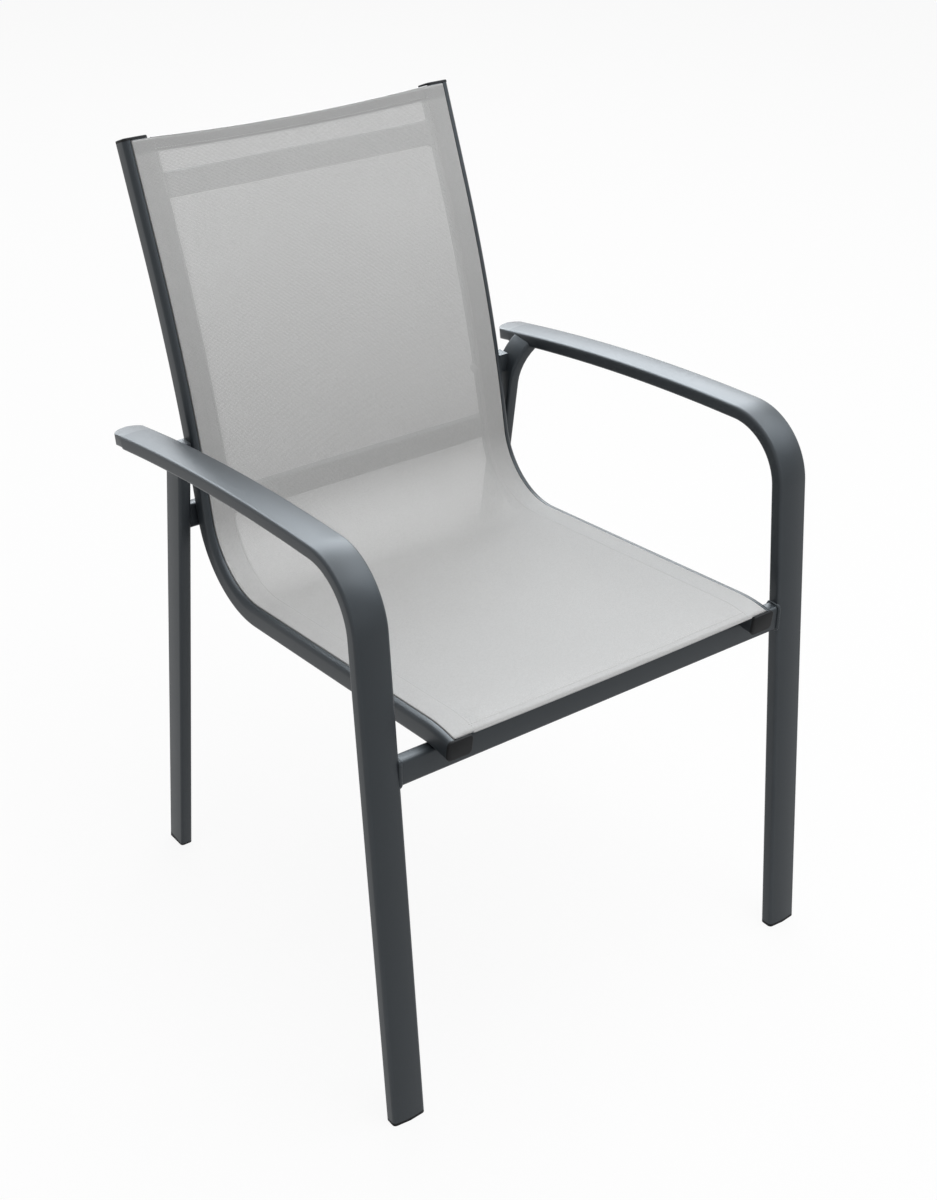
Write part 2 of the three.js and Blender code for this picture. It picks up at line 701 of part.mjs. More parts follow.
// Glides: a plug in the tube's end, and a wedge below it that is level with the floor.
function glide(section, place, lift) {
  const wedge = prism(ovalOutline(section, 0), cutOverrun + lift).translate(0, 0, -cutOverrun);
  const plug = prism(ovalOutline(section, -section.wall - plugGap), lift + footPlugLength);
  const whole = solid(wedge, place).add(solid(plug, place));
  const size = 2 * frameWidth;
  const above = solid(new THREE.BoxGeometry(size, size, size).translate(0, 0, size / 2));
  return geometryOf(whole.intersect(above));
}
function addGlides() {
  for (const { label, sign } of sides) {
    const frontPlace = armPlace(sign).multiply(
      placed(new THREE.Vector3(0, frontFootReach, 0), [-frontRake, 0, 0]),
    );
    addMesh(`${label}_front_glide`, glide(tube, frontPlace, frontFootLift / Math.cos(frontRake)), blackPlastic());
    const rearPlace = rearLegPlace(sign);
    addMesh(`${label}_rear_glide`, glide(rearLeg, rearPlace, rearFootLift), blackPlastic());
  }
}

// Lugs: blocks from the rail's outer side to the rear leg, shaped to the leg's curve.
function lugCutter(sign) {
  const half = rearLeg.width / 2 + seatGap;
  const inner = rearLeg.thick / 2 + seatGap;
  const shape = new THREE.Shape();
  shape.moveTo(half, inner);
  shape.lineTo(-half, inner);
  shape.lineTo(-half, -cutOverrun);
  shape.lineTo(half, -cutOverrun);
  shape.closePath();
  return solid(sweep(shape, rearLegPath(rearFootLift)), rearLegPlace(sign));
}
function addLugs() {
  const from = railOuter - railDrift(lugRail) + 2 * seatGap;
  const to = from + lugWidth;
  for (const { label, sign } of sides) {
    const block = solid(new THREE.BoxGeometry(to - from, lugDepth, lugHeight)
      .translate(sign * (from + to) / 2, lugRail.y + lugReachShift, lugCentreHeight));
    const body = block.subtract(lugCutter(sign));
    addMesh(`${label}_rail_lug`, geometryOf(cutHoles(body)), coated());
  }
}

addArmTubes();
addRearLegs();
addCrossbars();
addRails();
addCloth();
addCaps();
addGlides();
addLugs();
addBolts();

// The chair stands on the floor with the middle of its box over the origin.
chair.updateMatrixWorld(true);
const box = new THREE.Box3().setFromObject(chair, true);
const centre = box.getCenter(new THREE.Vector3());
chair.position.set(-centre.x, -centre.y, -box.min.z);

export default chair;
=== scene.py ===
import math
import bmesh
import bpy
import numpy as np
from mathutils import Matrix, Vector


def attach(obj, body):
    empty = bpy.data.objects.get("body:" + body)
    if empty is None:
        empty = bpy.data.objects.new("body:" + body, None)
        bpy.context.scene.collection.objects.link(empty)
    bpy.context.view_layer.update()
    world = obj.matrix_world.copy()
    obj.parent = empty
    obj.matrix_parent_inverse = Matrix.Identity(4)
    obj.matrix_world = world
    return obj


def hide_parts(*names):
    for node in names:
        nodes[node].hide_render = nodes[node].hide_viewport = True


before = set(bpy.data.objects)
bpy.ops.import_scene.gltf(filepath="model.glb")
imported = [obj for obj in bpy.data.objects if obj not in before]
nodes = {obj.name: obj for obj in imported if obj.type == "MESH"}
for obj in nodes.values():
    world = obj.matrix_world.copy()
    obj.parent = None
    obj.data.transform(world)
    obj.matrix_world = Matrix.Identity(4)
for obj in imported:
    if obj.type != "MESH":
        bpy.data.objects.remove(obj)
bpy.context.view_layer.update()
print("frame loaded:", len(nodes), "nodes")

mm = 0.001
bothSides = (("left", -1), ("right", 1))

# The chair's own sizes, in millimetres and degrees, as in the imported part.
chair = {
    "footprintShift": -8.257,  # the part stands with its box centred on the origin
    "frameWidth": 587.8,
    "frontFoot": (-293.8, 0.0),
    "knee": (-239.2, 633.7),
    "armCrest": (30.2, 625.6),
    "armEnd": (218.0, 595.4),
    "armToeIn": 0.93,
    "kneeRadius": 70.0,
    "crestShare": 0.96,
    "footLift": 3.3,
    "railSetIn": 76.5,
    "railToeIn": 0.3,
    "railLeanIn": 0.11,
    "railCorners": [(-290.0, 440.0), (-263.3, 443.7), (166.2, 408.3), (210.8, 649.0), (307.7, 894.4)],
    "lipShare": 0.58,
    "seatCornerRadius": 99.0,
    "lumbarShare": 0.97,
}
routeSteps = {"arcDegrees": 2.5, "run": 14.0, "fewestOnRun": 2, "fewestOnArc": 4}


def directionOf(angle):
    # unit vectors in the upright plane at these angles
    return np.stack([np.cos(angle), np.sin(angle)], -1)


def arcPoints(centre, radius, start, end, steps):
    # points on a circle arc, from the start angle to the end angle in degrees
    return np.array(centre) + radius * directionOf(np.radians(np.linspace(start, end, steps)))


def runAlong(points):
    # the distance travelled along a line of flat points, from its first point to each of them
    return np.r_[0, np.cumsum(np.hypot(*np.diff(points, axis=0).T))]


def smoothRise(values, start, end):
    # 0 before start, 1 after end, and 3 t squared - 2 t cubed between them
    t = np.clip((values - start) / (end - start), 0, 1)
    return t * t * (3 - 2 * t)


def bentPath(corners, bends):
    # straight runs between corners; each inner corner is replaced by the circle arc that touches both
    # runs at the tangent length, radius * tan(turn / 2), or a share of what the fixed arcs leave free
    corners = np.array(corners, float)
    runs = np.diff(corners, axis=0)
    lengths = np.hypot(*runs.T)
    heading = np.arctan2(runs[:, 1], runs[:, 0])
    turns = np.diff(heading)
    spread = np.tan(np.abs(turns) / 2)
    fixed = np.array([bend.get("radius", 0.0) for bend in bends]) * spread
    free = lengths - np.r_[0, fixed] - np.r_[fixed, 0]
    runStep, fewest = routeSteps["run"], routeSteps["fewestOnRun"]
    points, headings, at = [], [], corners[0]
    for index, bend in enumerate(bends):
        tangent = fixed[index] if "radius" in bend else bend["share"] * min(free[index], free[index + 1])
        radius = tangent / spread[index]
        start = corners[index + 1] - tangent * directionOf(heading[index])
        steps = max(fewest, int(np.linalg.norm(start - at) / runStep))
        points.append(at + np.linspace(0, 1, steps, endpoint=False)[:, None] * (start - at))
        headings.append(np.full(steps, heading[index]))
        side = np.sign(turns[index])
        centre = start + radius * directionOf(heading[index] + side * math.pi / 2)
        turn = abs(turns[index])
        steps = max(routeSteps["fewestOnArc"], int(math.degrees(turn) / routeSteps["arcDegrees"]),
                    int(turn * radius / runStep))
        angle = heading[index] + turns[index] * np.linspace(0, 1, steps, endpoint=False)
        points.append(centre - radius * directionOf(angle + side * math.pi / 2))
        headings.append(angle)
        at = corners[index + 1] + tangent * directionOf(heading[index + 1])
    steps = max(fewest, int(np.linalg.norm(corners[-1] - at) / runStep))
    points.append(at + np.linspace(0, 1, steps + 1)[:, None] * (corners[-1] - at))
    headings.append(np.full(steps + 1, heading[-1]))
    points = np.concatenate(points)
    return {"points": points, "headings": np.concatenate(headings), "travelled": runAlong(points)}


def roundedProfile(width, thick, crown, corner, cornerSteps=8, faceSteps=14):
    # a rectangle with quarter-circle corners; each wide face rises by crown * (1 - t squared) at its
    # middle; the edge value is sin(2 * angle) round a corner and 0 on the faces
    half, side = width / 2 - corner, thick / 2 - crown - corner
    quarter = np.linspace(0, math.pi / 2, cornerSteps)
    share = np.linspace(1, -1, faceSteps + 2)[1:-1]
    top = np.stack([half * share, side + corner + crown * (1 - share ** 2)], -1)
    first = np.array([half, side]) + corner * directionOf(quarter)
    second = np.array([-half, side]) + corner * directionOf(quarter + math.pi / 2)
    upper = np.concatenate([first, top, second])
    edge = np.concatenate([np.sin(2 * quarter), np.zeros(faceSteps), np.sin(2 * quarter)])
    return {"points": np.concatenate([upper, -upper]), "edge": np.concatenate([edge, edge])}


def gridFaces(rows, columns, closed):
    # quads between neighbouring rows and columns; a closed profile joins its last column to its first
    wide = np.arange(columns if closed else columns - 1)
    row, column = np.meshgrid(np.arange(rows - 1), wide, indexing="ij")
    following = (column + 1) % columns
    corners = [row * columns + column, row * columns + following,
               (row + 1) * columns + following, (row + 1) * columns + column]
    return np.stack(corners, -1).reshape(-1, 4)


def newMesh(name, points, faces, cut=None):
    # points are in millimetres before the footprint's shift; cut holds each point's place on the flat cloth
    mesh = bpy.data.meshes.new(name)
    placed = points.reshape(-1, 3) + np.array([0, chair["footprintShift"], 0])
    mesh.from_pydata((placed * mm).tolist(), [], faces)
    if cut is not None:
        layer = mesh.uv_layers.new(name="cut")
        index = np.zeros(len(mesh.loops), np.int32)
        mesh.loops.foreach_get("vertex_index", index)
        layer.data.foreach_set("uv", (cut.reshape(-1, 2)[index] * mm).astype(np.float32).ravel())
    return mesh


def addPiece(name, mesh, material, sharp=None):
    # shaded smooth, apart from the edges that turn by more than the sharp angle, in degrees
    mesh.materials.clear()
    mesh.materials.append(material)
    mesh.shade_smooth()
    if sharp is not None:
        mesh.set_sharp_from_angle(angle=math.radians(sharp))
    piece = bpy.data.objects.new(name, mesh)
    bpy.context.scene.collection.objects.link(piece)
    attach(piece, "root")
    return piece


def meshPiece(name, grid, material, closed=True, loop=False, cut=None, masks=None,
              flip=False, sharp=40):
    # grid is rows x columns x 3; masks are named values for its points; a loop joins its last row to
    # its first, and a closed profile that is no loop gets a face over each end
    rows, columns = grid.shape[:2]
    faces = (gridFaces(rows + loop, columns, closed) % (rows * columns)).tolist()
    if closed and not loop:
        faces += [list(range(columns))[::-1], [(rows - 1) * columns + i for i in range(columns)]]
    if flip:
        faces = [face[::-1] for face in faces]
    mesh = newMesh(name, grid, faces, cut)
    for label, values in (masks or {}).items():
        layer = mesh.attributes.new(label, "FLOAT", "POINT")
        layer.data.foreach_set("value", np.broadcast_to(values, (rows, columns)).astype(np.float32).ravel())
    mesh.validate()
    return addPiece(name, mesh, material, sharp)


def mirrored(grid, sign):
    # the same points on the chair's left for a sign of -1
    return grid * np.array([sign, 1, 1])


def turned(points, pivot, axis, degrees):
    # turns points about an upright (Z) or crosswise (Y) axis through the pivot
    rotation = np.array(Matrix.Rotation(math.radians(degrees), 3, axis))
    return (points - pivot) @ rotation.T + pivot


# shader nodes
def setInputs(tree, node, inputs):
    # a socket as a value is linked, anything else is set
    for key, value in inputs.items():
        if isinstance(value, bpy.types.NodeSocket):
            tree.links.new(value, node.inputs[key])
        else:
            node.inputs[key].default_value = value
    return node


def addNode(tree, kind, inputs=None, **settings):
    node = tree.nodes.new(kind)
    for key, value in settings.items():
        setattr(node, key, value)
    return setInputs(tree, node, inputs or {})


def groupNode(tree, group, inputs):
    return setInputs(tree, addNode(tree, "ShaderNodeGroup", node_tree=group), inputs)


def calc(tree, operation, first, second=0.0, third=0.0, clamp=False):
    inputs = {0: first, 1: second, 2: third}
    return addNode(tree, "ShaderNodeMath", inputs, operation=operation, use_clamp=clamp).outputs[0]


def times(tree, first, second, clamp=False):
    return calc(tree, "MULTIPLY", first, second, clamp=clamp)


def timesPlus(tree, first, second, third, clamp=False):
    # first * second + third
    return calc(tree, "MULTIPLY_ADD", first, second, third, clamp)


def colourBlend(tree, factor, low, high):
    # low where the factor is 0, high where it is 1
    node = addNode(tree, "ShaderNodeMix", {"Factor": factor}, data_type="RGBA")
    for key, value in (("A", low), ("B", high)):
        socket = [s for s in node.inputs if s.name == key and s.type == "RGBA"][0]
        if isinstance(value, bpy.types.NodeSocket):
            tree.links.new(value, socket)
        else:
            socket.default_value = (*value, 1)
    return [s for s in node.outputs if s.type == "RGBA"][0]


def newGroup(name, inputs, outputs):
    group = bpy.data.node_groups.new(name, "ShaderNodeTree")
    for label, value in inputs.items():
        kind = "NodeSocketVector" if value is None else "NodeSocketFloat"
        socket = group.interface.new_socket(label, in_out="INPUT", socket_type=kind)
        if value is not None:
            socket.default_value = value
    for label in outputs:
        group.interface.new_socket(label, in_out="OUTPUT", socket_type="NodeSocketFloat")
    return group, group.nodes.new("NodeGroupInput").outputs, group.nodes.new("NodeGroupOutput")


def newMaterial(name, principled):
    material = bpy.data.materials.new(name)
    material.use_nodes = True
    tree = material.node_tree
    shader = setInputs(tree, tree.nodes["Principled BSDF"], principled)
    return material, tree, shader


grainShape = {"fineDetail": 3.0, "fineRoughness": 0.55, "broadDetail": 4.0, "broadRoughness": 0.6, "cells": 0.45}
weaveShape = {"middle": 0.64, "swing": 0.36, "steepness": 4.0}


def makeGrainGroup():
    # a fine noise for the finish's grain, raised by cells * the distance to the nearest cell's centre,
    # and a broad noise for uneven tone and handling; sizes are in millimetres
    group, given, out = newGroup("finishGrain", {"Place": None, "Grain Size": 1.0, "Cloud Size": 80.0},
                                 ["Height", "Tone", "Cloud"])
    fineScale = calc(group, "DIVIDE", 1 / mm, given["Grain Size"])
    broadScale = calc(group, "DIVIDE", 1 / mm, given["Cloud Size"])
    fine = addNode(group, "ShaderNodeTexNoise", {
        "Vector": given["Place"], "Scale": fineScale,
        "Detail": grainShape["fineDetail"], "Roughness": grainShape["fineRoughness"]}).outputs["Fac"]
    broad = addNode(group, "ShaderNodeTexNoise", {
        "Vector": given["Place"], "Scale": broadScale,
        "Detail": grainShape["broadDetail"], "Roughness": grainShape["broadRoughness"]}).outputs["Fac"]
    cells = addNode(group, "ShaderNodeTexVoronoi", {"Vector": given["Place"], "Scale": fineScale})
    height = timesPlus(group, cells.outputs["Distance"], grainShape["cells"], fine)
    setInputs(group, out, {"Height": height, "Tone": fine, "Cloud": broad})
    return group


def makeWeaveGroup():
    # plain weave on the cloth's own flat coordinates: a thread's cross line is a half ellipse, the root of
    # 1 - off squared, and it rises and dips as a cosine of the crossing count; where neither the warp
    # nor the weft covers there is a hole
    group, given, out = newGroup("openWeave", {"Flat": None, "Warp Pitch": 1.5, "Weft Pitch": 1.5, "Thread": 0.62},
                                 ["Height", "Cover", "Tone"])
    flat = addNode(group, "ShaderNodeSeparateXYZ", {"Vector": given["Flat"]}).outputs
    threads = {}
    for label, axis in (("Warp", "X"), ("Weft", "Y")):
        count = calc(group, "DIVIDE", times(group, flat[axis], 1 / mm), given[f"{label} Pitch"])
        fromMiddle = calc(group, "ABSOLUTE", calc(group, "SUBTRACT", calc(group, "FRACT", count), 0.5))
        off = calc(group, "DIVIDE", times(group, fromMiddle, 2.0), given["Thread"])
        squared = timesPlus(group, off, times(group, off, -1.0), 1.0)
        bulge = calc(group, "SQRT", calc(group, "MAXIMUM", squared, 0.0))
        threads[label] = {"count": count, "number": calc(group, "FLOOR", count), "bulge": bulge}
    heights = []
    for label, other, sign in (("Warp", "Weft", 1), ("Weft", "Warp", -1)):
        crossing = calc(group, "SUBTRACT", threads[other]["count"], 0.5)
        phase = calc(group, "ADD", crossing, threads[label]["number"])
        wave = calc(group, "COSINE", times(group, phase, math.pi))
        level = timesPlus(group, wave, sign * weaveShape["swing"], weaveShape["middle"])
        heights.append(times(group, threads[label]["bulge"], level))
    cover = calc(group, "MAXIMUM", threads["Warp"]["bulge"], threads["Weft"]["bulge"])
    numbers = addNode(group, "ShaderNodeCombineXYZ", {
        "X": threads["Warp"]["number"], "Y": threads["Weft"]["number"]})
    speck = addNode(group, "ShaderNodeTexWhiteNoise", {"Vector": numbers.outputs[0]}, noise_dimensions="3D")
    setInputs(group, out, {
        "Height": calc(group, "MAXIMUM", *heights),
        "Cover": times(group, cover, weaveShape["steepness"], clamp=True),
        "Tone": speck.outputs["Value"]})
    return group


grainGroup = makeGrainGroup()
weaveGroup = makeWeaveGroup()

# the hard finishes; the lengths grain and cloud are in millimetres
coatLook = {
    "dark": (0.010, 0.0125, 0.015), "light": (0.020, 0.0245, 0.029), "edgeTint": (0.060, 0.067, 0.074),
    "metallic": 0.0, "roughness": 0.42, "roughnessSwing": 0.10, "specular": 0.32, "gloss": (0.84, 0.93, 1.0),
    "coat": 0.2, "coatRoughness": 0.38, "grain": 0.9, "cloud": 90.0, "grainShare": 0.6, "cloudShare": 0.4,
    "wear": 0.5, "bump": 0.10, "bumpDepth": 0.0003,
}
plasticLook = dict(
    coatLook, dark=(0.008, 0.008, 0.009), light=(0.018, 0.019, 0.020), edgeTint=(0.035, 0.035, 0.037),
    roughness=0.5, specular=0.1, gloss=(1.0, 1.0, 1.0), coat=0.0, grain=1.6, cloud=40.0, bump=0.18)
armCapLook = dict(coatLook, roughness=0.36, coat=0.3, grain=1.4, bump=0.14)
steelLook = dict(
    coatLook, dark=(0.36, 0.37, 0.38), light=(0.50, 0.51, 0.52), edgeTint=(0.6, 0.6, 0.6),
    metallic=1.0, roughness=0.28, coat=0.0, grain=0.6, cloud=12.0, bump=0.05)
rodLook = dict(
    coatLook, dark=(0.60, 0.60, 0.57), light=(0.70, 0.70, 0.67), edgeTint=(0.7, 0.7, 0.7), coat=0.0, bump=0.03)


def hardFinish(name, look):
    # colour from dark to light by fine and broad noise, lighter on worn edges; roughness by broad noise
    material, tree, shader = newMaterial(name, {
        "Metallic": look["metallic"], "Coat Weight": look["coat"], "Coat Roughness": look["coatRoughness"],
        "Specular IOR Level": look["specular"], "Specular Tint": (*look["gloss"], 1)})
    place = addNode(tree, "ShaderNodeTexCoord").outputs["Object"]
    grain = groupNode(tree, grainGroup, {
        "Place": place, "Grain Size": look["grain"], "Cloud Size": look["cloud"]}).outputs
    cloudPart = times(tree, grain["Cloud"], look["cloudShare"])
    tone = colourBlend(tree, timesPlus(tree, grain["Tone"], look["grainShare"], cloudPart),
                       look["dark"], look["light"])
    edge = addNode(tree, "ShaderNodeAttribute", attribute_name="edge").outputs["Fac"]
    worn = times(tree, edge, times(tree, grain["Cloud"], look["wear"]))
    bump = addNode(tree, "ShaderNodeBump", {
        "Strength": look["bump"], "Distance": look["bumpDepth"], "Height": grain["Height"]})
    setInputs(tree, shader, {
        "Base Color": colourBlend(tree, worn, tone, look["edgeTint"]),
        "Roughness": timesPlus(tree, grain["Cloud"], look["roughnessSwing"], look["roughness"]),
        "Normal": bump.outputs["Normal"]})
    return material


frameCoat = hardFinish("anthracite powder coat", coatLook)
blackPlastic = hardFinish("moulded black plastic", plasticLook)
armCapPlastic = hardFinish("grey arm cap plastic", armCapLook)
zincSteel = hardFinish("zinc-plated steel", steelLook)
rodPlastic = hardFinish("white rod plastic", rodLook)

# the cloth; pitch, grain and cloud are in millimetres, thread is a thread's share of the pitch
clothLook = {
    # the third colour is painted shade for the back's hems, where less light comes through from behind
    "warp": (0.375, 0.375, 0.372), "weft": (0.485, 0.485, 0.481), "painted_hem_shade": (0.325, 0.325, 0.323),
    "pitch": 1.5, "thread": 0.62, "speckShare": 0.35, "hollowShadeShare": 0.65, "threadShare": 0.8,
    "grain": 0.5, "cloud": 140.0, "cloudShare": 0.3, "roughness": 0.62, "sheen": 0.12, "sheenRoughness": 0.4,
    "bump": 0.5, "bumpDepth": 0.0004,
}
# the thread's colours are lighter than the cloth's: painted light that offsets the shade its stitches cast, so the
# rows read no darker than the cloth
threadLook = dict(clothLook, warp=(0.48, 0.48, 0.477), weft=(0.58, 0.58, 0.576), pitch=0.35, bump=0.3)


def wovenCloth(name, look, seeThrough, withPaintedShade=False):
    # colour from warp to weft by each crossing's own value, by the threads' height, which paints shade into the
    # weave's hollows, and by a broad noise;
    # painted shade darkens the back's hems, where doubled cloth lets less light through from behind, and
    # see-through cloth has its holes in alpha
    material, tree, shader = newMaterial(name, {
        "Roughness": look["roughness"], "Sheen Weight": look["sheen"], "Sheen Roughness": look["sheenRoughness"]})
    flat = addNode(tree, "ShaderNodeUVMap", uv_map="cut").outputs[0]
    weave = groupNode(tree, weaveGroup, {
        "Flat": flat, "Warp Pitch": look["pitch"], "Weft Pitch": look["pitch"], "Thread": look["thread"]}).outputs
    grain = groupNode(tree, grainGroup, {
        "Place": flat, "Grain Size": look["grain"], "Cloud Size": look["cloud"]}).outputs
    # painted shade: the colour is darker where a thread dips low in the weave, in its hollows
    tone = timesPlus(tree, weave["Tone"], look["speckShare"], times(tree, weave["Height"], look["hollowShadeShare"]))
    threadPart = times(tree, tone, look["threadShare"])
    factor = timesPlus(tree, grain["Cloud"], look["cloudShare"], threadPart, clamp=True)
    colour = colourBlend(tree, factor, look["warp"], look["weft"])
    # painted shade: the back's hems are darkened where less light comes through them from behind
    if withPaintedShade:
        painted_hem_shade = addNode(tree, "ShaderNodeAttribute", attribute_name="painted_hem_shade").outputs["Fac"]
        colour = colourBlend(tree, painted_hem_shade, colour, look["painted_hem_shade"])
    bump = addNode(tree, "ShaderNodeBump", {
        "Strength": look["bump"], "Distance": look["bumpDepth"], "Height": weave["Height"]})
    setInputs(tree, shader, {"Base Color": colour, "Normal": bump.outputs["Normal"]})
    if seeThrough:
        setInputs(tree, shader, {"Alpha": weave["Cover"]})
    return material


slingCloth = wovenCloth("open sling weave", clothLook, True, withPaintedShade=True)
hemCloth = wovenCloth("folded hem weave", clothLook, True)
threadCloth = wovenCloth("sewing thread", threadLook, False)
print("materials made")


# bent tubes of the frame
def alongUpright(path, profile):
    # carries the profile along the upright route: x stays crosswise, the profile's y follows the route's normal
    points, heading = path["points"], path["headings"]
    across, rise = profile[:, 0], profile[:, 1]
    normal = np.stack([-np.sin(heading), np.cos(heading)], -1)
    upright = points[:, None, :] + normal[:, None, :] * rise[None, :, None]
    crosswise = np.broadcast_to(across, upright.shape[:2])
    return np.concatenate([crosswise[..., None], upright], -1)


armTube = {"width": 39.6, "thick": 18.6, "crown": 1.3, "corner": 4.0}


def cutLevel(grid, height):
    # moves the first row along the route's own line to one height, so that the foot's end is level
    grid = grid.copy()
    step = grid[1] - grid[0]
    share = (height - grid[0][:, 2]) / step[:, 2]
    grid[0] += step * share[:, None]
    return grid


def makeArms():
    # the rounded profile carried up the leg, round the knee and along the arm, toed in about the knee
    path = bentPath([chair["frontFoot"], chair["knee"], chair["armCrest"], chair["armEnd"]],
                    [{"radius": chair["kneeRadius"]}, {"share": chair["crestShare"]}])
    centre = (chair["frameWidth"] - armTube["width"]) / 2
    profile = roundedProfile(**armTube)
    grid = cutLevel(alongUpright(path, profile["points"]), chair["footLift"]) + np.array([centre, 0, 0])
    grid = turned(grid, np.array([centre, chair["knee"][0], 0]), "Z", chair["armToeIn"])
    for label, sign in bothSides:
        piece = meshPiece(f"{label}_leg_and_arm", mirrored(grid, sign), frameCoat,
                          masks={"edge": profile["edge"][None, :]}, flip=sign > 0)
        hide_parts(f"{label}_leg_arm_tube")


makeArms()

rail = {
    "width": 30.0, "height": 24.0, "wall": 1.8, "corner": 5.0, "shoulder": 6.5,
    "channelInset": 9.0, "bore": 6.4, "slot": 2.4, "rod": 5.0,
    "cornerSteps": 7, "shoulderSteps": 9, "boreSteps": 14,
}
railPath = bentPath(chair["railCorners"], [
    {"share": chair["lipShare"]}, {"radius": chair["seatCornerRadius"]}, {"share": chair["lumbarShare"]}])
railOuter = chair["frameWidth"] / 2 - chair["railSetIn"]
railCentre = railOuter - rail["width"] / 2
railInner = railOuter - rail["width"]
channelOut = rail["width"] / 2 - rail["channelInset"]
channelRise = rail["height"] / 2 - rail["wall"] - rail["bore"] / 2
railPivot = np.array([railCentre, *chair["railCorners"][0]])


def railTurned(points):
    # the right rail's slight turn: in towards the back, then in towards the top
    points = turned(points, railPivot, "Z", chair["railToeIn"])
    return turned(points, railPivot, "Y", -chair["railLeanIn"])


def railProfile():
    # a rounded box whose front face has a round channel behind a narrow slot, beside its outer shoulder
    half, top, shoulder, corner = rail["width"] / 2, rail["height"] / 2, rail["shoulder"], rail["corner"]
    mouth = math.degrees(math.asin(rail["slot"] / rail["bore"]))
    return np.concatenate([
        arcPoints((corner - half, top - corner), corner, 90, 180, rail["cornerSteps"]),
        arcPoints((corner - half, corner - top), corner, 180, 270, rail["cornerSteps"]),
        arcPoints((half - corner, corner - top), corner, 270, 360, rail["cornerSteps"]),
        arcPoints((half - shoulder, top - shoulder), shoulder, 0, 90, rail["shoulderSteps"]),
        [(channelOut + rail["slot"] / 2, top)],
        arcPoints((channelOut, channelRise), rail["bore"] / 2, 90 - mouth, mouth - 270, rail["boreSteps"]),
        [(channelOut - rail["slot"] / 2, top)],
    ])


def makeRails():
    # the channelled profile carried along the seat and up the back
    grid = railTurned(alongUpright(railPath, railProfile()) + np.array([railCentre, 0, 0]))
    for label, sign in bothSides:
        piece = meshPiece(f"{label}_side_rail", mirrored(grid, sign), frameCoat, flip=sign > 0)
        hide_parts(f"{label}_sling_rail")


makeRails()
print("arms and rails made")

# end is a bead's distance from the chair's middle, centre the bar's place along and up, tilt its turn
weld = {"girth": 2.3, "ripple": 0.08, "ripples": 36, "steps": 180, "ring": 10, "corner": 4.0}
weldedBars = {
    "front": {"end": 255.2, "centre": (-257.78, 415.09), "tilt": 90.0, "width": 30.0, "thick": 16.0},
    "top": {"end": 183.6, "centre": (292.12, 844.03), "tilt": 68.45, "width": 28.0, "thick": 16.0},
}


def makeWelds():
    # a bead around each end of a bar: a tube along the bar's outline, whose radius is
    # girth * (1 + ripple * sin(ripples * turn)) as it goes once round
    share = np.linspace(0, 1, weld["steps"], endpoint=False)
    girth = weld["girth"] * (1 + weld["ripple"] * np.sin(2 * math.pi * weld["ripples"] * share))[:, None]
    turn = np.linspace(0, 2 * math.pi, weld["ring"], endpoint=False)[None, :]
    for label, bar in weldedBars.items():
        outline = roundedProfile(bar["width"], bar["thick"], 0.0, weld["corner"])["points"]
        outline = np.concatenate([outline, outline[:1]])
        run = runAlong(outline)
        even = np.stack([np.interp(share * run[-1], run, outline[:, axis]) for axis in (0, 1)], -1)
        step = np.roll(even, -1, 0) - np.roll(even, 1, 0)
        outward = np.stack([step[:, 1], -step[:, 0]], -1) / np.hypot(*step.T)[:, None]
        flat = even[:, None, :] + (girth * np.cos(turn))[..., None] * outward[:, None, :]
        lean = math.radians(bar["tilt"])
        forth = flat[..., 0] * math.cos(lean) - flat[..., 1] * math.sin(lean)
        up = flat[..., 0] * math.sin(lean) + flat[..., 1] * math.cos(lean)
        grid = np.stack([bar["end"] + girth * np.sin(turn), bar["centre"][0] + forth, bar["centre"][1] + up], -1)
        for side, sign in bothSides:
            meshPiece(f"{side}_{label}_bar_weld", mirrored(grid, sign), frameCoat,
                      loop=True, flip=sign > 0)


makeWelds()
print("weld beads made")

copyLook = {"mergeWithin": 0.00001, "sharp": 50, "blockSharp": 30}


# the other CAD nodes: smooth copies of their own meshes, or the nodes themselves
def smoothCopy(node, name, material, sharp=copyLook["sharp"]):
    mesh = nodes[node].data.copy()
    mesh.name = name
    work = bmesh.new()
    work.from_mesh(mesh)
    bmesh.ops.remove_doubles(work, verts=work.verts, dist=copyLook["mergeWithin"])
    work.to_mesh(mesh)
    work.free()
    if mesh.has_custom_normals:
        mesh.normals_split_custom_set([(0, 0, 0)] * len(mesh.loops))
    for layer in [a.name for a in mesh.attributes if a.name == "custom_normal"]:
        mesh.attributes.remove(mesh.attributes[layer])
    piece = addPiece(name, mesh, material, sharp)
    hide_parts(node)


def dressNode(node, material):
    node.data.materials.clear()
    node.data.materials.append(material)


for label, sign in bothSides:
    smoothCopy(f"{label}_rear_leg", f"{label}_back_leg", frameCoat)
    smoothCopy(f"{label}_rail_lug", f"{label}_lug_block", frameCoat, copyLook["blockSharp"])
    smoothCopy(f"{label}_arm_end_cap", f"{label}_arm_cap", armCapPlastic)
    for end in ("front", "top"):
        smoothCopy(f"{label}_rail_{end}_cap", f"{label}_{end}_rail_cap", blackPlastic)
    for end in ("front", "rear"):
        smoothCopy(f"{label}_{end}_glide", f"{label}_{end}_foot", blackPlastic)
for bar in ("front", "rear", "top"):
    smoothCopy(f"{bar}_crossbar", f"{bar}_bar", frameCoat)
for name, node in nodes.items():
    if name.endswith(("_bolt", "_washer")):
        dressNode(node, zincSteel)
    if name.endswith("_keder_rod"):
        dressNode(node, rodPlastic)
print("frame pieces dressed")

